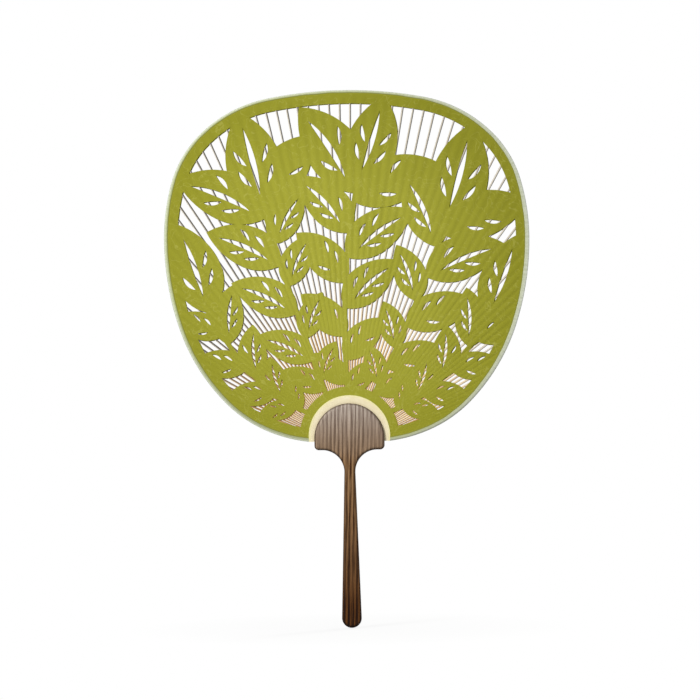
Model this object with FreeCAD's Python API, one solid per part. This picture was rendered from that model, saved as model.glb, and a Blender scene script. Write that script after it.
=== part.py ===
"""Round uchiwa fan: bamboo ribs between two cut papers, edged, collared and glued into a wooden handle.

Frame: +Z runs up the fan, +X to the right of the front face, and the front face looks toward -Y.
The origin is the middle of the grip, in the middle of the leaf's thickness. Millimetres and degrees.
"""

import FreeCAD
import Part
import math
import os
from FreeCAD import Vector

# Leaf, measured from the neck line, where its root is cut straight across
leaf_width = 245.0
leaf_height = 235.5
# Points of the right edge, as shares of half the width and of the height, and the edge's fall from level
shoulder_shares = (0.80, 0.877)
shoulder_angle = 44.6
widest_height_share = 0.577
haunch_shares = (0.669, 0.111)
haunch_angle = 134.5
neck_angle = 173.4

# Ribs, splints that taper toward the root so that they lie side by side in the handle
rib_count = 84
rib_spread_angle = 146.0
rib_width = 1.4
rib_thickness = 0.7
rib_fill_share = 0.8
rib_centre_drop = 4.7
rib_root_radius = 19.0
rib_tip_clearance = 0.3

# Papers and their cut-out design
paper_thickness = 0.25
rim_band = 9.0
root_band = 6.0
stem_width = 3.2
vein_margin = 1.2
least_opening_width = 2.5
leaflet_width_share = 0.52
leaflet_belly_share = 0.42
leaflet_bow_share = 0.05
end_leaflet_bow_share = 0.02
vein_span_shares = (0.18, 0.84)
vein_width_share = 0.056
side_vein_start_shares = (0.28, 0.48)
side_vein_reach_share = 0.17
side_vein_root_share = 0.072
side_vein_tip_share = 0.158
side_vein_bow_share = 0.06
side_vein_width_share = 0.042

# Edging, a paper strip folded over the rim
edging_thickness = 0.2
edging_lap = 2.2

# Collars, paper arcs over the root of the leaf, set higher than the head so that they are wider over its top
collar_thickness = 0.2
collar_band = 3.8
collar_lift = 1.7
collar_tuck = 3.0

# Handle, measured down from the neck line
head_radius = 23.5
head_rise = 1.9
shoulder_drop = 5.7
shoulder_corner = 3.0
shoulder_level = 2.1
shaft_neck_width = 7.4
shaft_end_width = 13.2
handle_drop = 125.0
handle_thickness = 7.0
edge_round = 2.2
slot_clearance = 0.05
slot_floor_clearance = 0.3

# The grip's middle, up from the end of the handle
grip_height = 60.0

# How far a cut runs past the face that it opens
overrun = 5.0

# Sprays of leaflets: the stem's start, pull and end as shares of the leaf's width and height, then its
# leaflets as place along the stem, turn off the stem in degrees (plus is clockwise) and length as a share
# of the leaf's width. Later leaflets lie over earlier ones.
spray_shares = [
    (
        ((0.0, 0.10), (-0.03, 0.45), (0.035, 0.755)),
        (
            (0.05, 46, 0.125), (0.09, -46, 0.135), (0.19, 44, 0.16), (0.29, -44, 0.17), (0.41, 46, 0.20),
            (0.52, -46, 0.195), (0.63, 48, 0.225), (0.74, -48, 0.215), (0.88, 56, 0.26), (0.92, -42, 0.29),
            (0.95, 6, 0.27),
        ),
    ),
    (
        ((-0.05, 0.10), (-0.15, 0.38), (-0.235, 0.695)),
        (
            (0.08, -46, 0.135), (0.13, 40, 0.12), (0.23, -46, 0.17), (0.34, 38, 0.14), (0.46, -46, 0.20),
            (0.59, 40, 0.16), (0.69, -48, 0.225), (0.79, 44, 0.175), (0.91, -50, 0.27), (0.95, 48, 0.25),
            (0.93, 2, 0.30),
        ),
    ),
    (
        ((0.05, 0.10), (0.17, 0.32), (0.28, 0.645)),
        (
            (0.08, 46, 0.135), (0.13, -40, 0.12), (0.23, 46, 0.17), (0.34, -38, 0.14), (0.46, 46, 0.205),
            (0.59, -40, 0.17), (0.71, 46, 0.235), (0.85, -42, 0.23), (0.91, 50, 0.255), (0.94, -4, 0.305),
        ),
    ),
    (
        ((-0.085, 0.075), (-0.26, 0.12), (-0.40, 0.41)),
        (
            (0.13, 44, 0.11), (0.17, -40, 0.11), (0.28, 40, 0.13), (0.34, -40, 0.135), (0.50, 40, 0.155),
            (0.58, -44, 0.155), (0.75, 38, 0.17), (0.80, -38, 0.15), (0.93, 10, 0.265),
        ),
    ),
    (
        ((0.085, 0.075), (0.26, 0.12), (0.405, 0.38)),
        (
            (0.13, -44, 0.11), (0.17, 40, 0.11), (0.28, -40, 0.13), (0.34, 40, 0.135), (0.50, -40, 0.155),
            (0.58, 44, 0.155), (0.75, -38, 0.17), (0.80, 38, 0.15), (0.93, -12, 0.25),
        ),
    ),
]
# A leaflet that turns off its stem by less than this ends the stem
end_leaflet_angle = 20

# Heights and depths that the pieces share
neck_z = handle_drop - grip_height
head_z = neck_z + head_rise
rib_centre_z = neck_z - rib_centre_drop
collar_radius = head_radius + collar_band
collar_z = head_z + collar_lift
neck_half_width = math.sqrt(collar_radius**2 - (collar_z - neck_z)**2)
rib_face = rib_thickness / 2
paper_face = rib_face + paper_thickness
edging_face = paper_face + edging_thickness
collar_face = paper_face + collar_thickness
slot_half = collar_face + slot_clearance
shoulder_fillet = head_radius - shoulder_corner - shoulder_level - shaft_neck_width / 2

UP_Y = Vector(0, 1, 0)


def at(x, z):
    """A point of the fan's flat."""
    return Vector(x, 0, z)


def heading(degrees):
    """The direction that falls this far below level, so that 90 is straight down."""
    return at(math.cos(math.radians(degrees)), -math.sin(math.radians(degrees)))


def mirrored(point):
    """The same point on the other side of the fan."""
    return at(-point.x, point.z)


def arc_middle(start, tangent, end):
    """The middle of the arc that leaves start along tangent and reaches end."""
    chord = end - start
    side = chord.cross(UP_Y).normalize()
    turn = math.atan2(tangent.dot(side), tangent.dot(chord) / chord.Length)
    return (start + end) / 2 + side * (chord.Length / 2 * math.tan(turn / 2))


def biarc(start, start_tangent, end, end_tangent):
    """Two arcs that run smoothly from one point and direction to another, each as start, middle and end."""
    span = end - start
    both = start_tangent + end_tangent
    bend = 2 * (1 - start_tangent.dot(end_tangent))
    along = span.dot(both)
    reach = (math.sqrt(along**2 + bend * span.dot(span)) - along) / bend
    joint = (start + end + (start_tangent - end_tangent) * reach) / 2
    return [
        (start, arc_middle(start, start_tangent, joint), joint),
        (joint, arc_middle(end, end_tangent * -1, joint), end),
    ]


def arc_wire(arcs, closing_lines=()):
    """One closed wire of three-point arcs and straight lines."""
    edges = [Part.Arc(*arc).toShape() for arc in arcs]
    edges += [Part.makeLine(start, end) for start, end in closing_lines]
    return Part.Wire(Part.__sortEdges__(edges))


def slab(face, back, front):
    """The flat face made solid between two depths, given as distances toward the viewer."""
    return face.translated(Vector(0, -front, 0)).extrude(Vector(0, front - back, 0))


def both_ways(face, half):
    """The flat face made solid by the same depth to the front and to the back."""
    return slab(face, -half, half)


def leaf_outline():
    """The leaf's edge: pairs of arcs from the top round to the neck, mirrored, and the straight root."""
    half = leaf_width / 2
    stations = [
        (at(0, neck_z + leaf_height), heading(0)),
        (at(shoulder_shares[0] * half, neck_z + shoulder_shares[1] * leaf_height), heading(shoulder_angle)),
        (at(half, neck_z + widest_height_share * leaf_height), heading(90)),
        (at(haunch_shares[0] * half, neck_z + haunch_shares[1] * leaf_height), heading(haunch_angle)),
        (at(neck_half_width, neck_z), heading(neck_angle)),
    ]
    right = []
    for here, there in zip(stations, stations[1:]):
        right += biarc(*here, *there)
    left = [(mirrored(end), mirrored(middle), mirrored(start)) for start, middle, end in right]
    root = (at(neck_half_width, neck_z), at(-neck_half_width, neck_z))
    return arc_wire(right + left, [root])


outline = leaf_outline()


def leaf_face(inset):
    """The leaf's flat, drawn in from its edge."""
    return Part.Face(outline.makeOffset2D(-inset) if inset else outline)


def disc(radius, middle_z):
    """A round face about a point on the fan's middle line."""
    return Part.Face(Part.Wire(Part.makeCircle(radius, at(0, middle_z), UP_Y)))


# Cut-out design


def on_leaf(shares):
    """A point given as shares of the leaf's width and height."""
    return at(shares[0] * leaf_width, neck_z + shares[1] * leaf_height)


def moved(point, direction, distance):
    """A point of the design, moved along a direction."""
    return (point[0] + direction[0] * distance, point[1] + direction[1] * distance)


def share_arc_middle(start, tangent, end):
    """The middle of an arc of the design, in shares of the leaf."""
    middle = arc_middle(at(*start), at(*tangent), at(*end))
    return (middle.x, middle.z)


def share_face(arcs):
    """The flat inside a closed run of the design's arcs."""
    return Part.Face(arc_wire([[on_leaf(point) for point in arc] for arc in arcs]))


def stem_place(stem, place):
    """The point and the clockwise turn from upright of a stem, part of the way along it."""
    back = 1 - place
    point = [back**2 * s + 2 * back * place * p + place**2 * e for s, p, e in zip(*stem)]
    run = [back * (p - s) + place * (e - p) for s, p, e in zip(*stem)]
    return point, math.atan2(run[0], run[1])


def stem_band(stem):
    """A stem as a band of paper of one width."""
    sides = []
    for side in (-1, 1):
        poles = []
        for point, place in zip(stem, (0, 0.5, 1)):
            turn = stem_place(stem, place)[1]
            across = at(math.cos(turn), -math.sin(turn))
            poles.append(on_leaf(point) + across * (side * stem_width / 2))
        curve = Part.BezierCurve()
        curve.setPoles(poles)
        sides.append((curve.toShape(), poles[0], poles[-1]))
    (left, left_start, left_end), (right, right_start, right_end) = sides
    ends = [Part.makeLine(left_start, right_start), Part.makeLine(left_end, right_end)]
    return Part.Face(Part.Wire(Part.__sortEdges__([left, right] + ends)))


class Leaflet:
    """One pointed leaflet of the design, laid out along and across its own length in shares of the leaf."""

    def __init__(self, stem, place, turn, length):
        self.base, stem_turn = stem_place(stem, place)
        direction = stem_turn + math.radians(turn)
        self.along = (math.sin(direction), math.cos(direction))
        self.across = (self.along[1], -self.along[0])
        self.length = length
        self.bow = -math.copysign(leaflet_bow_share, turn)
        if abs(turn) < end_leaflet_angle:
            self.bow = end_leaflet_bow_share

    def point(self, along, across):
        """A point along and across the leaflet, in shares of its length."""
        return moved(moved(self.base, self.along, along * self.length), self.across, across * self.length)

    def blade(self):
        """The leaflet's outline: two arcs a side, widest at the belly."""
        base = self.point(0, 0)
        tip = self.point(1, 0)
        back = (-self.along[0], -self.along[1])
        arcs = []
        for side in (-1, 1):
            belly = self.point(leaflet_belly_share, side * leaflet_width_share / 2 + self.bow)
            arcs.append((base, share_arc_middle(belly, back, base), belly))
            arcs.append((belly, share_arc_middle(belly, self.along, tip), tip))
        return share_face(arcs)

    def slit(self, start, end, bow, width):
        """A pointed slit from start to end that bows to one side."""
        start = on_leaf(self.point(*start))
        end = on_leaf(self.point(*end))
        run = end - start
        across = UP_Y.cross(run).normalize()
        middle = (start + end) / 2 + across * (bow * run.Length)
        swell = across * (width * self.length * leaf_width / 2)
        return Part.Face(arc_wire([(start, middle + swell, end), (end, middle - swell, start)]))

    def veins(self):
        """The slits of one leaflet: its midrib, and side veins in pairs."""
        first, last = vein_span_shares
        slits = [self.slit((first, 0), (last, 0), self.bow, vein_width_share)]
        for side in (-1, 1):
            for start in side_vein_start_shares:
                root = (start, side * side_vein_root_share + self.bow)
                tip = (start + side_vein_reach_share, side * side_vein_tip_share + self.bow)
                slits.append(self.slit(root, tip, side * side_vein_bow_share, side_vein_width_share))
        return slits


def clear_of(slit, blades):
    """Whether a slit keeps its margin from every one of these blades."""
    box = FreeCAD.BoundBox(slit.BoundBox)
    box.enlarge(vein_margin)
    near = [blade for blade in blades if box.intersect(blade.BoundBox)]
    return all(slit.distToShape(blade)[0] > vein_margin for blade in near)


def design_openings():
    """The openings of both papers: the ground between the sprays, and the veins that stay uncovered."""
    ground = leaf_face(rim_band).cut(disc(collar_radius + root_band, collar_z))
    stems = [stem_band(stem) for stem, _ in spray_shares]
    leaflets = [Leaflet(stem, *row) for stem, rows in spray_shares for row in rows]
    blades = [leaflet.blade() for leaflet in leaflets]
    windows = [face for face in ground.cut(stems + blades).Faces if face.Area > least_opening_width**2]
    veins = []
    for order, leaflet in enumerate(leaflets):
        inside = [slit for slit in leaflet.veins() if slit.cut(ground).Area == 0]
        veins += [slit for slit in inside if clear_of(slit, blades[order + 1:])]
    return windows + veins


def cut_paper():
    """The flat of one paper, with every opening of the design."""
    return leaf_face(edging_thickness).cut(design_openings()).Faces[0]


# Pieces


def rib(turn, bounds):
    """One splint, turned off upright: it widens from its root to a knee, then runs parallel to the rim."""
    pitch = math.radians(rib_spread_angle / (rib_count - 1))
    fill = rib_fill_share * pitch / 2
    knee = rib_width / 2 / fill
    reach = leaf_width + leaf_height
    centre = at(0, rib_centre_z)
    along = at(math.sin(turn), math.cos(turn))
    across = at(math.cos(turn), -math.sin(turn))
    profile = [(rib_root_radius, fill * rib_root_radius), (knee, rib_width / 2), (reach, rib_width / 2)]
    points = [centre + along * radius + across * half for radius, half in profile]
    points += [centre + along * radius - across * half for radius, half in reversed(profile)]
    splint = Part.Face(Part.makePolygon(points + points[:1]))
    return both_ways(splint.common(bounds), rib_face).Solids[0]


def rim_edging():
    """The folded strip: a lap on each face and the fold round the edge, ending at the collars."""
    strip = both_ways(leaf_face(0), edging_face)
    strip = strip.cut(both_ways(leaf_face(edging_thickness), paper_face))
    strip = strip.cut(both_ways(leaf_face(edging_lap), edging_face + overrun))
    return strip.cut(both_ways(disc(collar_radius, collar_z), edging_face + overrun))


def collar_flat():
    """The flat of a collar: an arc that tucks in under the head's edge and ends at the neck line."""
    ring = disc(collar_radius, collar_z).cut(disc(head_radius - collar_tuck, head_z))
    return ring.common(leaf_face(0)).Faces[0]


def handle_outline():
    """The handle from the front: round head, shoulders, and a shaft that swells to a round end."""
    shoulder_z = neck_z - shoulder_drop
    end_radius = shaft_end_width / 2
    end_centre = at(0, end_radius - grip_height)
    fillet_centre = at(shaft_neck_width / 2 + shoulder_fillet, shoulder_z - shoulder_fillet)
    # The shaft's side touches the end's circle and the shoulder's fillet
    run = fillet_centre - end_centre
    lean = math.acos((end_radius + shoulder_fillet) / run.Length) - math.atan2(run.z, run.x)
    outward = at(math.cos(lean), -math.sin(lean))
    shaft_end = end_centre + outward * end_radius
    fillet_foot = fillet_centre - outward * shoulder_fillet
    fillet_middle = fillet_centre + (at(0, 1) - outward).normalize() * shoulder_fillet
    fillet_start = fillet_centre + at(0, shoulder_fillet)
    corner_centre = at(head_radius - shoulder_corner, shoulder_z + shoulder_corner)
    corner_start = corner_centre + at(shoulder_corner, 0)
    corner_middle = corner_centre + heading(45) * shoulder_corner
    corner_end = corner_centre - at(0, shoulder_corner)
    head_side = at(head_radius, head_z)
    arcs = [
        (mirrored(head_side), at(0, head_z + head_radius), head_side),
        (shaft_end, at(0, -grip_height), mirrored(shaft_end)),
    ]
    lines = []
    for arc in ((corner_start, corner_middle, corner_end), (fillet_start, fillet_middle, fillet_foot)):
        arcs += [arc, [mirrored(point) for point in arc]]
    for line in ((head_side, corner_start), (corner_end, fillet_start), (fillet_foot, shaft_end)):
        lines += [line, [mirrored(point) for point in line]]
    return Part.Face(arc_wire(arcs, lines))


def handle():
    """The wooden handle: a board sawn to shape, its edges eased, slotted for the root of the leaf."""
    half = handle_thickness / 2
    body = both_ways(handle_outline(), half)
    rims = [edge for edge in body.Edges if abs(edge.CenterOfMass.y) > half / 2]
    body = body.makeFillet(edge_round, rims)
    slot_width = 2 * (head_radius + overrun)
    slot_floor = neck_z - slot_floor_clearance
    slot_height = head_z + head_radius + overrun - slot_floor
    slot_corner = Vector(-slot_width / 2, -slot_half, slot_floor)
    slot = Part.makeBox(slot_width, 2 * slot_half, slot_height, slot_corner)
    return body.cut(slot)


def export(shape, name):
    """Writes the file of one node."""
    shape.exportStep(os.path.join("parts", name + ".step"))


os.makedirs("parts", exist_ok=True)

paper = cut_paper()
export(slab(paper, rib_face, paper_face), "front_paper")
export(slab(paper, -paper_face, -rib_face), "back_paper")

rib_bounds = leaf_face(edging_thickness + rib_tip_clearance)
rib_step = math.radians(rib_spread_angle / (rib_count - 1))
for pair in range(rib_count // 2):
    turn = (pair + 0.5) * rib_step
    export(Part.makeCompound([rib(-turn, rib_bounds), rib(turn, rib_bounds)]), f"rib_pair_{pair + 1:02d}")

export(rim_edging(), "rim_edging")

collar = collar_flat()
export(slab(collar, paper_face, collar_face), "front_collar")
export(slab(collar, -collar_face, -paper_face), "back_collar")

export(handle(), "handle")
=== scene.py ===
"""The round uchiwa fan as it looks: splints, cut papers, edging, collars and handle on their CAD frame."""

import math

import bpy
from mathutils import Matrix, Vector, geometry, kdtree, noise


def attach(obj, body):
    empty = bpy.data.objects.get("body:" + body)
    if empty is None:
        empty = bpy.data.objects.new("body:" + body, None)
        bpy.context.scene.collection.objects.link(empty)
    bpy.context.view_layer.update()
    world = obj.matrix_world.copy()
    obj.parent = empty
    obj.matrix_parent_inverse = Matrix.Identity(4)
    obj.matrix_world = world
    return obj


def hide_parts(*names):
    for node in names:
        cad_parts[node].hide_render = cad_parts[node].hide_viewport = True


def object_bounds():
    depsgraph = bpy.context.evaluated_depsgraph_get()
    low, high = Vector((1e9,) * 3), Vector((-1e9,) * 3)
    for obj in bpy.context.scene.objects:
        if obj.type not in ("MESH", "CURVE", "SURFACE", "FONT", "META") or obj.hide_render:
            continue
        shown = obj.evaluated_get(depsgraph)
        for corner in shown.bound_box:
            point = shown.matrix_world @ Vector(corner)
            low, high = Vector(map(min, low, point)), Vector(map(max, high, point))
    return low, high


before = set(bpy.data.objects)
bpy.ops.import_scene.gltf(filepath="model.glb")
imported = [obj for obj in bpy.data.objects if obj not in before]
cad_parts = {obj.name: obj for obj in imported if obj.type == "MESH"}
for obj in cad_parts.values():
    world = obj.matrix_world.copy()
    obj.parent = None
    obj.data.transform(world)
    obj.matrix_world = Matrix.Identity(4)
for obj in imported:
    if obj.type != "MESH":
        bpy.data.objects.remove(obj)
cad_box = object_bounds()

# Ribs
# Some eighty bamboo splints, split and shaved by hand and left bare, fan out from the handle's slot to
# the rim between the two papers. Each is dark along its right side, from the cane's dark skin and from
# painted shade, and pale wood along its left. Past the root, that dark band is painted further onto the
# front on the left of the leaf, as painted shade.
MM = 0.001
rib_count = 84
rib_pitch = math.radians(146.0 / (rib_count - 1))
rib_centre = Vector((0, 0, 60.3 * MM))
rib_root = 19.0 * MM
rib_half_width = 0.7 * MM
rib_half_thickness = 0.345 * MM
rib_corner, corner_ease = 0.22 * MM, 0.3
rib_fill = 0.8
rib_station = 5.0 * MM
rib_wander = 0.35 * MM
rib_wander_length = 45.0 * MM
rib_swell = 0.11 * MM
# Shares of the dark band across a splint: dark skin together with painted shade
left_side_skin_and_shade, left_corner_skin_and_shade, front_skin_and_shade = 0.4, 0.2, 0.5
skin_and_shade_turn, skin_and_shade_loss = 0.8, 0.4
skin_and_shade_even, skin_and_shade_turned = 35.0 * MM, 70.0 * MM


def splint_half_width(radius):
    """Half the width of a splint, this far from the point that all of them aim at."""
    return min(rib_half_width, rib_fill * rib_pitch / 2 * radius)


def splint_half_gap(radius):
    """Half the gap between two splints there."""
    return rib_pitch / 2 * radius - splint_half_width(radius)


def splint_lines(turn):
    """The directions along and across a splint that is turned this far from upright."""
    return Vector((math.sin(turn), 0, math.cos(turn))), Vector((math.cos(turn), 0, -math.sin(turn)))


def eased(value, low, high):
    """A smooth rise from 0 at low to 1 at high."""
    share = min(1.0, max(0.0, (value - low) / (high - low)))
    return share * share * (3 - 2 * share)


def splint(turn, tip, number):
    """Rings of points along one splint, each point with its place in the grain and its share of dark skin and
    painted shade.
    """
    along, across = splint_lines(turn)
    stations = math.ceil((tip - rib_root) / rib_station)
    rings = []
    for station in range(stations + 1):
        radius = rib_root + (tip - rib_root) * station / stations
        # A splint sways and swells into a third of the gap on each side at most
        room = splint_half_gap(radius) / 3
        sway = noise.noise((radius / rib_wander_length, number, 0)) * min(rib_wander, room)
        swell = noise.noise((radius / rib_wander_length, number, rib_count)) * min(rib_swell, room)
        half = splint_half_width(radius) + swell
        middle = rib_centre + along * radius + across * sway
        # Past the root, the dark band is painted further onto the front on the left and fainter on the right,
        # as painted shade
        slant = math.sin(turn) * eased(radius, skin_and_shade_even, skin_and_shade_turned)
        middle_skin_and_shade, edge_skin_and_shade = front_skin_and_shade - skin_and_shade_turn * slant, 1 - skin_and_shade_loss * max(0, slant)
        corner = min(rib_corner, half / 2)
        flat, side = half - corner, rib_half_thickness - corner
        bevel, ease = half - corner_ease * corner, rib_half_thickness - corner_ease * corner
        front = [
            (-half, -side, left_side_skin_and_shade), (-bevel, -ease, left_corner_skin_and_shade),
            (-flat, -rib_half_thickness, 0), (0, -rib_half_thickness, middle_skin_and_shade),
            (flat, -rib_half_thickness, edge_skin_and_shade), (bevel, -ease, edge_skin_and_shade), (half, -side, edge_skin_and_shade),
        ]
        profile = front + [(out, -depth, skin_and_shade) for out, depth, skin_and_shade in reversed(front)]
        rings.append([
            (middle + across * out + Vector((0, depth, 0)), (out, radius, number), skin_and_shade)
            for out, depth, skin_and_shade in profile
        ])
    return rings


def tube_faces(rings, sides):
    """Faces that join rings of points into a tube with closed ends, numbered from zero."""
    faces = []
    for ring in range(rings - 1):
        for side in range(sides):
            here, there = ring * sides + side, ring * sides + (side + 1) % sides
            faces.append((here, there, there + sides, here + sides))
    return faces + [tuple(reversed(range(sides))), tuple(range((rings - 1) * sides, rings * sides))]


def shaped(name, points, faces, sharp_degrees):
    """A piece from points and faces, shaded smooth but for its sharper edges."""
    mesh = bpy.data.meshes.new(name)
    mesh.from_pydata(points, [], faces)
    mesh.shade_smooth()
    mesh.set_sharp_from_angle(angle=math.radians(sharp_degrees))
    made = bpy.data.objects.new(name, mesh)
    bpy.context.scene.collection.objects.link(made)
    return made


def paint(code):
    """An sRGB hex colour as the linear one that shaders take."""
    shares = [int(code[place:place + 2], 16) / 255 for place in (1, 3, 5)]
    return [s / 12.92 if s <= 0.04045 else ((s + 0.055) / 1.055) ** 2.4 for s in shares] + [1]


def add(tree, kind, inputs=None, **settings):
    """One shader node: its settings by name, and its inputs as values or as sockets to link from."""
    made = tree.nodes.new("ShaderNode" + kind)
    for name, value in settings.items():
        setattr(made, name, value)
    for place, value in (inputs or {}).items():
        if isinstance(value, bpy.types.NodeSocket):
            tree.links.new(value, made.inputs[place])
        else:
            made.inputs[place].default_value = value
    return made


def ramp(tree, value, low=0.0, high=1.0, at_low=0.0, at_high=1.0, **settings):
    """A value that runs from at_low to at_high as another goes from low to high, and is held beyond them."""
    return add(tree, "MapRange", {0: value, 1: low, 2: high, 3: at_low, 4: at_high}, **settings).outputs[0]


def product(tree, first, second):
    """Two shader values multiplied."""
    return add(tree, "Math", {0: first, 1: second}, operation="MULTIPLY").outputs[0]


def scaled(tree, where, scale):
    """A place in a pattern, multiplied by a scale for each direction."""
    return add(tree, "VectorMath", {0: where, 1: scale}, operation="MULTIPLY").outputs[0]


def distance(tree, where, middle):
    """How far a place is from a fixed point."""
    return add(tree, "VectorMath", {0: where, 1: middle}, operation="DISTANCE").outputs["Value"]


def mottle(tree, where, size, detail, distortion=0.0):
    """A noise pattern with spots of about this size."""
    inputs = {"Vector": where, "Scale": 1 / size, "Detail": detail, "Distortion": distortion}
    return add(tree, "TexNoise", inputs).outputs["Fac"]


def blend(tree, share, under, over, **settings):
    """A colour that goes from one to another by a share. Each is a hex colour or a socket."""
    under, over = [paint(colour) if isinstance(colour, str) else colour for colour in (under, over)]
    return add(tree, "Mix", {0: share, 6: under, 7: over}, data_type="RGBA", **settings).outputs[2]


def finish_of(name):
    """A new material with its node tree and its main shader."""
    material = bpy.data.materials.new(name)
    material.use_nodes = True
    return material, material.node_tree, material.node_tree.nodes["Principled BSDF"]


def dress(tree, shader, colour, rough, height, strength, depth, sheen):
    """Gives a shader its colour, its roughness, a relief of this depth and its sheen."""
    relief = add(tree, "Bump", {"Strength": strength, "Distance": depth, "Height": height}).outputs[0]
    for name, socket in (("Base Color", colour), ("Roughness", rough), ("Normal", relief)):
        tree.links.new(socket, shader.inputs[name])
    shader.inputs["Specular IOR Level"].default_value = sheen


# Bamboo, split and shaved: pale wood with fine lengthwise fibres, and a darker skin that carries painted
# shade along one side. It is warm toward the root, where some splints are browner, and grey further out.
# Fibres are about 0.1 mm wide; they are drawn at 0.3 mm so that they show.
fibre_width, fibre_length, fibre_depth = 0.3 * MM, 14.0 * MM, 0.05 * MM
warm_to, grey_from = 45.0 * MM, 125.0 * MM
bamboo, tree, shader = finish_of("bamboo_split_bare")
grain = add(tree, "Attribute", attribute_name="grain").outputs["Vector"]
grain_place = add(tree, "SeparateXYZ", {0: grain}).outputs
radius, number = grain_place["Y"], grain_place["Z"]
fibre_place = scaled(tree, grain, (1 / fibre_width, 1 / fibre_length, 1))
fibre_look = {"Vector": fibre_place, "Scale": 1.0, "Detail": 3.0, "Roughness": 0.6}
fibres = add(tree, "TexNoise", fibre_look).outputs["Fac"]
tone = add(tree, "TexWhiteNoise", {"W": number}, noise_dimensions="1D").outputs["Value"]
# The splints are warm toward the root and greyer further out
greyer_outward = ramp(tree, radius, warm_to, grey_from, interpolation_type="SMOOTHSTEP")
colour = blend(tree, greyer_outward, "#F6D088", "#E2DBCC")
duller = ramp(tree, product(tree, tone, greyer_outward), at_high=0.4)
colour = blend(tree, duller, colour, "#A89E8A")
browner = ramp(tree, tone, 0.5, 0.8, at_high=0.6)
at_root = add(tree, "Math", {0: 1.0, 1: greyer_outward}, operation="SUBTRACT").outputs[0]
colour = blend(tree, product(tree, browner, at_root), colour, "#A8743C")
streak = ramp(tree, fibres, 0.42, 0.72, at_high=0.4)
colour = blend(tree, streak, colour, "#A88B5E")
# Painted shade: the dark band along each splint's right side is skin colour darkened as painted shade
skin_and_shade = add(tree, "Attribute", attribute_name="skin_and_shade").outputs["Fac"]
skin_and_shade_mix = ramp(tree, skin_and_shade, 0.2, 0.8, at_high=0.95)
skin_and_shade_colour = blend(tree, greyer_outward, "#986A30", "#45423D")
colour = blend(tree, skin_and_shade_mix, colour, skin_and_shade_colour)
rough = ramp(tree, fibres, at_low=0.5, at_high=0.7)
dress(tree, shader, colour, rough, fibres, strength=0.5, depth=fibre_depth, sheen=0.5)

for pair in range(rib_count // 2):
    node = f"rib_pair_{pair + 1:02d}"
    turn = (pair + 0.5) * rib_pitch
    along, across = splint_lines(turn)
    # The CAD splint is cut slantwise at the rim: the new one is cut square at its shorter side
    reach = {-1: 0.0, 1: 0.0}
    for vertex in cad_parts[node].data.vertices:
        if vertex.co.x > 0:
            offset = vertex.co - rib_centre
            side = 1 if offset.dot(across) > 0 else -1
            reach[side] = max(reach[side], offset.dot(along))
    points, faces, grains, skin_and_shade_values = [], [], [], []
    for side in (-1, 1):
        rings = splint(side * turn, min(reach.values()), 2 * pair + (side > 0))
        first = len(points)
        faces += [[first + corner for corner in face] for face in tube_faces(len(rings), len(rings[0]))]
        for ring in rings:
            for point, in_grain, skin_and_shade_share in ring:
                points.append(point)
                grains += in_grain
                skin_and_shade_values.append(skin_and_shade_share)
    splints = shaped(f"bamboo_splints_{pair + 1:02d}", points, faces, sharp_degrees=50)
    splints.data.attributes.new("grain", "FLOAT_VECTOR", "POINT").data.foreach_set("vector", grains)
    splints.data.attributes.new("skin_and_shade", "FLOAT", "POINT").data.foreach_set("value", skin_and_shade_values)
    splints.data.materials.append(bamboo)
    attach(splints, "root")
    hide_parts(node)

# Papers
# Two sheets of green dyed mulberry paper, cut alike with a knife, one pasted on each face of the
# splints. The paste draws a sheet down between the splints, so that each splint stands out as a ridge.
# The back sheet lies a hair lower and further right, so its shaded edge shows in the front's openings.
paper_face = 0.6 * MM
paper_thickness = 0.25 * MM
face_slack = 0.01 * MM
sag_share, sag_unevenness = 0.09, 0.7
most_sag = 0.2 * MM
rim_flat, rim_full = 2.4 * MM, 6.0 * MM
collar_radius = 27.3 * MM
collar_middle = Vector((0, 0, 68.6 * MM))
past_rim = 250.0 * MM
cut_step = 1.1 * MM
least_row_step, row_step_share = 1.2 * MM, 0.017
keep_clear = 0.5 * MM
back_slip = (0.55 * MM, -0.45 * MM)
# Rows of points at both edges of a splint and in the hollow on its right: shares of half the splint's
# width and of half the gap
row_places = ((-1, 0), (1, 0), (1, 0.45), (1, 1), (1, 1.55))


def flat_edges(node, depth):
    """The closed edges of a flat node's face at this depth, as runs of points across and up the fan."""
    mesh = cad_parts[node].data
    steps = set()
    for polygon in mesh.polygons:
        corners = [mesh.vertices[index].co for index in polygon.vertices]
        if all(abs(corner.y - depth) < face_slack for corner in corners):
            spots = [(round(corner.x, 7), round(corner.z, 7)) for corner in corners]
            steps.update(zip(spots, spots[1:] + spots[:1]))
    following = {here: there for here, there in steps if (there, here) not in steps}
    runs = []
    while following:
        spot, there = following.popitem()
        run = [spot]
        while there != run[0]:
            run.append(there)
            there = following.pop(there)
        runs.append(run)
    return sorted(runs, key=lambda run: max(x for x, _ in run) - min(x for x, _ in run), reverse=True)


def divided(run, step):
    """A closed run with points no further apart than this."""
    points = []
    for (x0, z0), (x1, z1) in zip(run, run[1:] + run[:1]):
        parts = math.ceil(math.hypot(x1 - x0, z1 - z0) / step)
        points += [(x0 + (x1 - x0) * part / parts, z0 + (z1 - z0) * part / parts) for part in range(parts)]
    return points


def tree_of(points):
    """A search tree over points of the fan's flat."""
    found = kdtree.KDTree(len(points))
    for index, (x, z) in enumerate(points):
        found.insert((x, 0, z), index)
    found.balance()
    return found


paper_runs = [divided(run, cut_step) for run in flat_edges("front_paper", -paper_face)]
rim_tree = tree_of(paper_runs[0])


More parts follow.
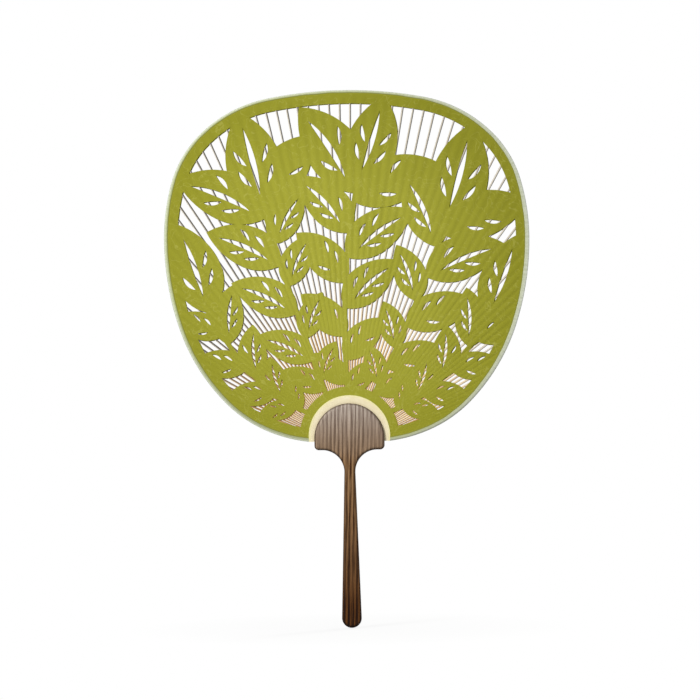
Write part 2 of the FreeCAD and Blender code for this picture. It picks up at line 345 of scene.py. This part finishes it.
def sag(x, z):
    """How far a paper is drawn in at this place between its splints, and the same as a share of the most."""
    radius = math.hypot(x, z - rib_centre.z)
    place = math.atan2(x, z - rib_centre.z) / rib_pitch + rib_count / 2
    if not 0.5 < place < rib_count - 0.5:
        return 0.0, 0.0
    off = abs(place % 1 - 0.5) * rib_pitch * radius
    gap = splint_half_gap(radius)
    share = eased(off - splint_half_width(radius), 0, gap)
    share *= eased(rim_tree.find((x, 0, z))[2], rim_flat, rim_full)
    share *= eased(math.hypot(x, z - collar_middle.z), collar_radius, collar_radius + rim_full)
    share *= 1 + sag_unevenness * noise.noise((round(place), radius / rib_wander_length, 0))
    return share * min(most_sag, sag_share * 2 * gap), share


def paper_sheet():
    """The flat of one paper as points and triangles, with rows along each splint and each hollow."""
    spots, rings = [], []
    for run in paper_runs:
        rings.append(list(range(len(spots), len(spots) + len(run))))
        spots += run
    cut_tree = tree_of(spots)
    rows = [(rib, on_splint, in_gap) for rib in range(rib_count) for on_splint, in_gap in row_places]
    # No hollow lies to the right of the last splint
    for rib, on_splint, in_gap in rows[:1 - len(row_places)]:
        radius = collar_radius
        while radius < past_rim:
            across = splint_half_width(radius) * on_splint + splint_half_gap(radius) * in_gap
            turn = (rib + 0.5 - rib_count / 2) * rib_pitch + across / radius
            x, z = radius * math.sin(turn), rib_centre.z + radius * math.cos(turn)
            if cut_tree.find((x, 0, z))[2] > keep_clear:
                spots.append((x, z))
            radius += max(least_row_step, row_step_share * radius)
    # The triangles are found in millimetres
    flat = [Vector((x / MM, z / MM)) for x, z in spots]
    without_holes, merge_distance = 2, 0.0001
    found, _, triangles, *_ = geometry.delaunay_2d_cdt(flat, [], rings, without_holes, merge_distance)
    used = sorted({corner for triangle in triangles for corner in triangle})
    renumbered = {corner: index for index, corner in enumerate(used)}
    return (
        [(found[corner].x * MM, found[corner].y * MM) for corner in used],
        [[renumbered[corner] for corner in triangle] for triangle in triangles],
    )


# Mulberry paper, dyed through and matte: a soft yellow green, cloudy where the dye took unevenly, with
# long loose fibres. Fibres are about 0.05 mm wide; they are drawn at about 0.4 mm so that they show.
# A cut edge is painted darker and the hollows between splints a little darker, as painted shade.
# The leaf is painted paler in the middle and darker toward the rim, as painted light falling off.
cloud_size, fibre_bend, tooth_size, nap_depth = 40.0 * MM, 9.0 * MM, 0.7 * MM, 0.04 * MM
leaf_middle = Vector((-10.0 * MM, 0, 180.0 * MM))
falloff_start, falloff_end = 60.0 * MM, 128.0 * MM
washi, tree, shader = finish_of("mulberry_paper_dyed_green")
spot = add(tree, "TexCoord").outputs["Object"]
cloudy = ramp(tree, mottle(tree, spot, cloud_size, 4.0), 0.3, 0.7)
colour = blend(tree, cloudy, "#9C9B2C", "#A6A536")
# Painted light: the leaf is painted paler in the middle and darker toward the rim
painted_falloff = ramp(tree, distance(tree, spot, leaf_middle), falloff_start, falloff_end, at_high=0.6)
colour = blend(tree, painted_falloff, colour, "#85840F")
hollow = add(tree, "Attribute", attribute_name="hollow").outputs["Fac"]
# Painted shade: the hollows between splints are painted darker
colour = blend(tree, ramp(tree, hollow, at_high=0.24), colour, "#7F7D1C")
tooth = mottle(tree, spot, tooth_size, 3.0)
speck = ramp(tree, tooth, 0.5, 0.75, at_high=0.3)
colour = blend(tree, speck, colour, "#88861F")
# A fibre follows the middle level of a slow noise
curls = mottle(tree, spot, fibre_bend, 1.5, distortion=1.2)
off_curl = add(tree, "Math", {0: curls, 1: 0.5}, operation="SUBTRACT").outputs[0]
nearness = add(tree, "Math", {0: off_curl}, operation="ABSOLUTE").outputs[0]
strand = ramp(tree, nearness, 0.016, 0.002, interpolation_type="SMOOTHSTEP")
colour = blend(tree, ramp(tree, strand, at_high=0.28), colour, "#C2C062")
facing = add(tree, "SeparateXYZ", {0: add(tree, "NewGeometry").outputs["True Normal"]}).outputs["Y"]
flatness = add(tree, "Math", {0: facing}, operation="ABSOLUTE").outputs[0]
# Painted shade: cut edges, which face sideways, are painted darker
cut_edge_shade = ramp(tree, flatness, 0.6, 0.3, at_high=0.5)
colour = blend(tree, cut_edge_shade, colour, "#76702A")
rough = ramp(tree, tooth, at_low=0.78, at_high=0.92)
raised = add(tree, "Math", {0: strand, 1: tooth}, operation="ADD").outputs[0]
dress(tree, shader, colour, rough, raised, strength=0.35, depth=nap_depth, sheen=0.25)

paper_spots, paper_triangles = paper_sheet()
drawn_in = [sag(x, z) for x, z in paper_spots]
spot_count = len(paper_spots)
steps = {step for a, b, c in paper_triangles for step in ((a, b), (b, c), (c, a))}
cut_sides = [step for step in steps if step[::-1] not in steps]
rim_gaps = [rim_tree.find((x, 0, z))[2] for x, z in paper_spots]
slips = [eased(gap, rim_flat / 2, rim_full) for gap in rim_gaps]
for name, facing in (("front", -1), ("back", 1)):
    outer = [(x, facing * (paper_face - depth), z) for (x, z), (depth, _) in zip(paper_spots, drawn_in)]
    if facing > 0:
        outer = [(x + s * back_slip[0], y, z + s * back_slip[1]) for (x, y, z), s in zip(outer, slips)]
    inner = [(x, y - facing * paper_thickness, z) for x, y, z in outer]
    faces = [list(triangle) for triangle in paper_triangles]
    faces += [[spot_count + corner for corner in reversed(triangle)] for triangle in paper_triangles]
    faces += [[b, a, spot_count + a, spot_count + b] for a, b in cut_sides]
    if facing > 0:
        faces = [list(reversed(face)) for face in faces]
    sheet = shaped(f"{name}_cut_paper", outer + inner, faces, sharp_degrees=45)
    hollows = [share for _, share in drawn_in] * 2
    sheet.data.attributes.new("hollow", "FLOAT", "POINT").data.foreach_set("value", hollows)
    sheet.data.materials.append(washi)
    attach(sheet, "root")
    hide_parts(f"{name}_paper")

# Edging
# A strip of thin pale green paper, folded over the rim and pasted down on both faces from one side of the
# neck round to the other. Bent to the curve by hand, it puckers a little, and its laps are narrower over
# the top and further to the front on the right. Past each lap, a thin skirt of the strip lies on the leaf,
# painted dark as the lap's painted shadow.
edging_thickness = 0.2 * MM
edging_lap = 2.2 * MM
edging_face = 0.8 * MM
edging_step = 1.2 * MM
fold_bend, fold_bend_share = 0.45 * MM, 0.3
narrow_from, top_narrowing = 0.6 * cad_box[1].z, 0.28
shift_from, shift_full, strip_shift = 0.2 * cad_box[1].x, 0.8 * cad_box[1].x, 0.6 * MM
lap_shadow_width = 0.9 * MM
lap_wander, pucker = 0.18 * MM, 0.035 * MM
lap_wander_length, pucker_length = 9.0 * MM, 2.4 * MM
inside_rim = Vector((0, 0, 156.0 * MM))


def crossing(run, outside, near, past):
    """Where a run of points meets the collar, between a point outside it and one inside it."""
    share = outside[near] / (outside[near] - outside[past])
    return tuple(a + (b - a) * share for a, b in zip(run[near], run[past]))


def rim_line():
    """The rim from the left of the neck over the top to the right, as points with outward directions."""
    run = divided(flat_edges("front_paper", -paper_face)[0], edging_step)
    outside = [math.hypot(x, z - collar_middle.z) - collar_radius for x, z in run]
    first = next(k for k in range(len(run)) if outside[k] > 0 > outside[k - 1])
    run, outside = run[first:] + run[:first], outside[first:] + outside[:first]
    last = next(k for k in range(len(run)) if outside[k] < 0)
    run = [crossing(run, outside, 0, -1)] + run[:last] + [crossing(run, outside, last - 1, last)]
    line = []
    for before, (x, z), after in zip(run[:1] + run[:-1], run, run[1:] + run[-1:]):
        ahead = Vector((after[0] - before[0], 0, after[1] - before[1])).normalized()
        out = Vector((-ahead.z, 0, ahead.x))
        if out.dot(Vector((x, 0, z)) - inside_rim) < 0:
            out = -out
        line.append((Vector((x, 0, z)) + out * edging_thickness, out))
    return line


rim = rim_line()
points, places = [], []
passed = 0.0
for station, (spot, out) in enumerate(rim):
    if station:
        passed += (spot - rim[station - 1][0]).length
    profile = []
    for facing in (1, -1):
        lap = edging_lap * (1 - top_narrowing * eased(spot.z, narrow_from, cad_box[1].z))
        lap += lap_wander * noise.noise((passed / lap_wander_length, facing, 0))
        lap -= facing * strip_shift * eased(spot.x, shift_from, shift_full)
        proud = edging_face + pucker * noise.noise((passed / pucker_length, facing, 5)) - pucker
        bend = min(fold_bend, fold_bend_share * lap)
        # Half the strip's section: how far in from the fold each point is, and how far from the leaf's middle
        fold = [
            (0.0, 0.36 * edging_face), (0.06 * MM, 0.6 * edging_face), (0.2 * MM, 0.79 * edging_face),
            (bend, 0.89 * edging_face),
        ]
        lying = [(0.36 * lap, proud), (0.58 * lap, proud + pucker / 2), (lap - 0.3 * MM, proud)]
        thin_edge = [(lap - 0.08 * MM, paper_face + 0.12 * MM), (lap, paper_face + 0.05 * MM)]
        # A thin skirt past the lap, painted dark as the lap's painted shadow on the leaf
        lap_shadow_skirt = [
            (lap + 0.12 * MM, paper_face + 0.02 * MM),
            (lap + lap_shadow_width, paper_face + 0.008 * MM), (lap + lap_shadow_width, paper_face),
        ]
        pasted_side = [(bend, paper_face), (edging_thickness, 0.6 * paper_face)]
        half = fold + lying + thin_edge + lap_shadow_skirt + pasted_side
        half = [(inset, facing * depth, inset / lap) for inset, depth in half]
        profile += half if facing > 0 else list(reversed(half))
    points += [spot - out * inset + Vector((0, depth, 0)) for inset, depth, _ in profile]
    places += [value for _, depth, share in profile for value in (share, passed, depth)]
edging = shaped("folded_rim_edging", points, tube_faces(len(rim), len(profile)), sharp_degrees=50)
edging.data.attributes.new("strip", "FLOAT_VECTOR", "POINT").data.foreach_set("vector", places)

# Thin mulberry paper, tinted pale celadon and pasted: matte, nearly white beside the fold, which is
# painted grey as painted shade, and greener further in on the lap, where the leaf shows through. It is
# painted paler on the right as painted light, and darker toward the neck as painted shade, on the right at
# the fold and on the left on the lap. Faint creases cross it where it was eased round the curve.
crease_share, crease_width, crease_depth = 4.0, 1.6 * MM, 0.08 * MM
right_light_from, right_light_full = 20.0 * MM, 110.0 * MM
low_shade_from, low_shade_full = 160.0 * MM, 80.0 * MM
left_to, right_from = -20.0 * MM, 30.0 * MM
celadon, tree, shader = finish_of("mulberry_paper_strip_celadon")
strip = add(tree, "Attribute", attribute_name="strip").outputs["Vector"]
share = add(tree, "SeparateXYZ", {0: strip}).outputs["X"]
spot = add(tree, "TexCoord").outputs["Object"]
rim_place = add(tree, "SeparateXYZ", {0: spot}).outputs
over_leaf = ramp(tree, share, 0.05, 0.9)
colour = blend(tree, over_leaf, "#E0E4D0", "#B3B97C")
# Painted shade: the fold is painted grey
at_fold = ramp(tree, share, 0.2, 0.03, at_high=0.75)
colour = blend(tree, at_fold, colour, "#92A088")
# Painted light: the strip is painted paler on the right
right_side_light = ramp(tree, rim_place["X"], right_light_from, right_light_full, at_high=0.4)
colour = blend(tree, right_side_light, colour, "#E8EAE6")
# Painted shade: the strip is painted darker toward the neck, at the fold on the right and on the lap on the
# left
low = ramp(tree, rim_place["Z"], low_shade_from, low_shade_full, at_high=0.7)
on_right = ramp(tree, rim_place["X"], left_to, right_from)
on_fold = ramp(tree, share, 0.5, 0.3, at_low=0.35)
on_lap = ramp(tree, share, 0.2, 0.45, at_high=0.6)
low_shade_part = add(tree, "Mix", {0: on_right, 2: on_lap, 3: on_fold}).outputs[0]
colour = blend(tree, product(tree, low, low_shade_part), colour, "#7C7E70")
creases = mottle(tree, scaled(tree, strip, (1 / crease_share, 1 / crease_width, 0)), 1.0, 3.0)
creased = ramp(tree, creases, 0.4, 0.75, at_high=0.5)
colour = blend(tree, creased, colour, "#A3AB82")
tooth = mottle(tree, spot, tooth_size, 3.0)
speck = ramp(tree, tooth, 0.5, 0.8, at_high=0.3)
colour = blend(tree, speck, colour, "#A9B388")
# Painted shadow: the skirt past the lap is painted dark, fading outward
lap_shadow_fade = ramp(tree, share, 1.08, 1.4)
lap_shadow_colour = blend(tree, lap_shadow_fade, "#7A7B2A", "#9A992B")
beyond = ramp(tree, share, 1.0, 1.04)
colour = blend(tree, beyond, colour, lap_shadow_colour)
rough = ramp(tree, tooth, at_low=0.7, at_high=0.88)
dress(tree, shader, colour, rough, creases, strength=0.5, depth=crease_depth, sheen=0.3)
edging.data.materials.append(celadon)
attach(edging, "root")
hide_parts("rim_edging")

# Collars
# Two arcs of thick cream paper, one on each face, pasted over the root of the leaf to hide where the
# splints come together. They run in under the head of the handle.
head_middle = Vector((0, 0, 66.9 * MM))
trimmed_from, trimmed_full = 25.8 * MM, 27.0 * MM
head_shade_from, head_shade_full = 25.0 * MM, 23.4 * MM
# Mulberry paper, undyed: warm cream, matte, yellower where it was trimmed and painted darker beside the
# head as painted shade, with flecks of bark and a soft fibre nap.
cream_cloud, fleck_size, cream_nap = 6.0 * MM, 1.4 * MM, 0.05 * MM
cream, tree, shader = finish_of("mulberry_paper_undyed_cream")
spot = add(tree, "TexCoord").outputs["Object"]
cloudy = ramp(tree, mottle(tree, spot, cream_cloud, 4.0), 0.3, 0.7)
colour = blend(tree, cloudy, "#EBDDB3", "#F5EAC8")
trimmed = ramp(tree, distance(tree, spot, collar_middle), trimmed_from, trimmed_full, at_high=0.6)
colour = blend(tree, trimmed, colour, "#F2EDA6")
# Painted shade: the collar is painted darker beside the head of the handle
head_shade = ramp(tree, distance(tree, spot, head_middle), head_shade_from, head_shade_full, at_high=0.4)
colour = blend(tree, head_shade, colour, "#CDB893")
flecks = mottle(tree, spot, fleck_size, 2.0, distortion=1.5)
bark = ramp(tree, flecks, 0.66, 0.78, at_high=0.45)
colour = blend(tree, bark, colour, "#C6AE78")
tooth = mottle(tree, spot, tooth_size, 3.0)
rough = ramp(tree, tooth, at_low=0.75, at_high=0.9)
dress(tree, shader, colour, rough, tooth, strength=0.4, depth=cream_nap, sheen=0.3)
for node in ("front_collar", "back_collar"):
    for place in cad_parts[node].material_slots:
        place.material = cream

# Handle
# One board of dark, straight-grained hardwood, sawn to shape and rounded at its edges, its head slotted
# for the root of the leaf and glued. The grain runs the length of the handle and is brushed open.
handle_end, end_round = -60.0 * MM, 7.4 * MM
end_middle = (0, 0, handle_end + end_round)
grain_lean = math.radians(1.5)
band_width, band_run, band_depth = 2.7 * MM, 0.1, 0.35
waver_length, waver_width = 5.0 * MM, 1.6 * MM
line_width, line_run = 0.65 * MM, 0.03
pore_width, pore_length, pore_depth = 0.4 * MM, 9.0 * MM, 0.08 * MM
head_sheen_from, head_sheen_full = 50.0 * MM, 94.0 * MM
worn_from, worn_full = 82.0 * MM, 66.0 * MM
neck_from, neck_full = 52.0 * MM, 62.0 * MM
handled_from, handled_full = 44.0 * MM, -45.0 * MM
end_shade_from, end_shade_full = end_middle[2] + 2.0 * MM, end_middle[2] - 3.0 * MM
# Wenge-like hardwood, brushed and oiled: fine light and dark bands about 2.7 mm apart with open pores. It
# is painted paler and greyish on the head as a painted sheen, where the bands are worn faint toward the neck,
# darkened by the hand and by oil down the shaft, and painted darkest on edges, on undersides and at the
# end, as painted shade.
wood, tree, shader = finish_of("dark_hardwood_brushed_oiled")
level = add(tree, "TexCoord").outputs["Object"]
height = add(tree, "SeparateXYZ", {0: level}).outputs["Z"]
spot = add(tree, "Mapping", {"Vector": level, "Rotation": (0, -grain_lean, 0)}).outputs[0]
# Bands lean a little through the thickness of the board, and waver slowly along it
leaning = scaled(tree, spot, (1, band_depth, band_run))
waver = add(tree, "TexNoise", {"Vector": leaning, "Scale": 1 / waver_length, "Detail": 2.0}).outputs["Color"]
shifted = add(
    tree, "VectorMath", {0: waver, 1: (waver_width, 0, 0), 2: leaning}, operation="MULTIPLY_ADD",
).outputs[0]
# A wave texture's period is pi / 10 over its scale
band_look = {"Vector": shifted, "Scale": math.pi / 10 / band_width, "Distortion": 1.0, "Detail": 2.0}
bands = add(tree, "TexWave", band_look, bands_direction="X").outputs["Fac"]
lines = mottle(tree, scaled(tree, shifted, (1, 1, line_run / band_run)), line_width, 2.0)
uneven = ramp(tree, lines, 0.3, 0.7)
banded = add(tree, "Mix", {0: 0.6, 2: bands, 3: uneven}).outputs[0]
light_band = ramp(tree, banded, 0.22, 0.78)
# Painted sheen: the head is painted paler and greyer
head_sheen = ramp(tree, height, head_sheen_from, head_sheen_full)
dark = blend(tree, head_sheen, "#3A1F08", "#867569")
light = blend(tree, head_sheen, "#A07C56", "#C4B9AE")
colour = blend(tree, light_band, dark, light)
below_top = ramp(tree, height, worn_from, worn_full)
above_neck = ramp(tree, height, neck_from, neck_full, at_high=0.3)
colour = blend(tree, product(tree, below_top, above_neck), colour, "#816950")
handled = ramp(tree, height, handled_from, handled_full)
hand_oil = blend(tree, light_band, "#846B4B", "#A4865E")
colour = blend(tree, handled, colour, hand_oil, blend_type="MULTIPLY")
pores = mottle(tree, scaled(tree, spot, (1 / pore_width, 1 / pore_width, 1 / pore_length)), 1.0, 3.0)
open_pore = ramp(tree, pores, 0.55, 0.75, at_high=0.5)
colour = blend(tree, open_pore, colour, "#2E1A0B")
facing = add(tree, "SeparateXYZ", {0: add(tree, "NewGeometry").outputs["Normal"]}).outputs
flatness = add(tree, "Math", {0: facing["Y"]}, operation="ABSOLUTE").outputs[0]
# Painted shade: edges that turn away from the faces are painted dark
edge_shade = ramp(tree, flatness, 0.95, 0.4, at_high=0.85)
colour = blend(tree, edge_shade, colour, "#2C190C")
# Painted shade: faces turned downward are painted dark
underside_shade = ramp(tree, facing["Z"], -0.15, -0.8, at_high=0.7)
colour = blend(tree, underside_shade, colour, "#1F120A")
# Painted shade: the rounded end of the handle is painted nearly black
from_end_middle = distance(tree, scaled(tree, level, (1, 0, 1)), end_middle)
near_rim = ramp(tree, from_end_middle, 0.66 * end_round, 0.98 * end_round, at_high=0.9)
near_end = ramp(tree, height, end_shade_from, end_shade_full)
colour = blend(tree, product(tree, near_rim, near_end), colour, "#170B05")
rough = ramp(tree, pores, 0.3, 0.7, at_low=0.46, at_high=0.7)
brushed = add(tree, "Math", {0: uneven, 1: open_pore}, operation="SUBTRACT").outputs[0]
dress(tree, shader, colour, rough, brushed, strength=0.35, depth=pore_depth, sheen=0.1)
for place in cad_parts["handle"].material_slots:
    place.material = wood

# Floor and room
# A plain white floor just under the end of the handle, and a white room. The camera sees both as white,
# and the floor still takes the fan's soft shadow.
floor_half_side = 3.0
floor_drop = 0.3 * MM
shadow_to, white_from = 30.0 * MM, 160.0 * MM
floor_z = cad_box[0].z - floor_drop
floor_corners = [
    (x * floor_half_side, y * floor_half_side, floor_z) for x, y in ((-1, -1), (1, -1), (1, 1), (-1, 1))
]
floor = shaped("floor", floor_corners, [(0, 1, 2, 3)], sharp_degrees=30)
floor_paint, tree, shader = finish_of("matte_white_floor")
shader.inputs["Base Color"].default_value = paint("#EDEDED")
shader.inputs["Roughness"].default_value = 0.9
from_foot = distance(tree, add(tree, "TexCoord").outputs["Object"], (0, 0, 0))
whiteness = ramp(tree, from_foot, shadow_to, white_from, at_low=0.8)
seen = add(tree, "LightPath").outputs["Is Camera Ray"]
white = add(tree, "Emission", {"Color": (1, 1, 1, 1), "Strength": 1.0}).outputs[0]
seen_white = product(tree, seen, whiteness)
mixed = add(tree, "MixShader", {0: seen_white, 1: shader.outputs[0], 2: white}).outputs[0]
tree.links.new(mixed, tree.nodes["Material Output"].inputs["Surface"])
floor.data.materials.append(floor_paint)

room = bpy.data.worlds.new("white_room")
room.use_nodes = True
tree = room.node_tree
soft = tree.nodes["Background"]
soft.inputs["Color"].default_value = (1, 1, 1, 1)
soft.inputs["Strength"].default_value = 0.4
seen = add(tree, "LightPath").outputs
glossy, through, direct = seen["Is Glossy Ray"], seen["Is Transmission Ray"], seen["Is Camera Ray"]
mirrored = add(tree, "Math", {0: glossy, 1: through}, operation="MAXIMUM").outputs[0]
shown = add(tree, "Math", {0: mirrored, 1: direct}, operation="MAXIMUM").outputs[0]
white = add(tree, "Background", {"Color": (1, 1, 1, 1), "Strength": 1.0}).outputs[0]
mixed = add(tree, "MixShader", {0: shown, 1: soft.outputs[0], 2: white}).outputs[0]
tree.links.new(mixed, tree.nodes["World Output"].inputs["Surface"])
bpy.context.scene.world = room

# Lamps
# One soft lamp with a grid, up and to the left of the front, so that the splints' ridges show and the
# light falls off toward the rim. Another like it behind, up and to the right, lights the back.
lamp_size, lamp_spread = 0.28, math.radians(38)
for name, lamp_spot, lamp_aim, watts in (
    ("front_lamp", Vector((-0.62, -0.72, 0.66)), Vector((0.02, 0, 0.15)), 0.55),
    ("back_lamp", Vector((0.62, 0.72, 0.66)), Vector((-0.02, 0, 0.15)), 0.45),
):
    lamp_data = bpy.data.lights.new(name, "AREA")
    lamp_data.shape = "DISK"
    lamp_data.size = lamp_size
    lamp_data.spread = lamp_spread
    lamp_data.energy = watts
    lamp = bpy.data.objects.new(name, lamp_data)
    lamp.location = lamp_spot
    lamp.rotation_euler = (lamp_aim - lamp_spot).to_track_quat("-Z", "Y").to_euler()
    bpy.context.scene.collection.objects.link(lamp)

# Camera
# Straight in front through a long lens. It is rolled a little, because the fan leans to the left.
picture_width = 469.4 * MM
camera_distance, camera_side, camera_height = 2.5, 1.2 * MM, 126.2 * MM
fan_lean = math.radians(0.8)
camera_data = bpy.data.cameras.new("camera")
camera_data.sensor_width = 36.0
camera_data.lens = camera_data.sensor_width * camera_distance / picture_width
camera = bpy.data.objects.new("camera", camera_data)
camera.location = (camera_side, -camera_distance, camera_height)
camera.rotation_euler = (math.radians(90), fan_lean, 0)
bpy.context.scene.collection.objects.link(camera)
bpy.context.scene.camera = camera
bpy.context.scene.view_settings.view_transform = "Standard"
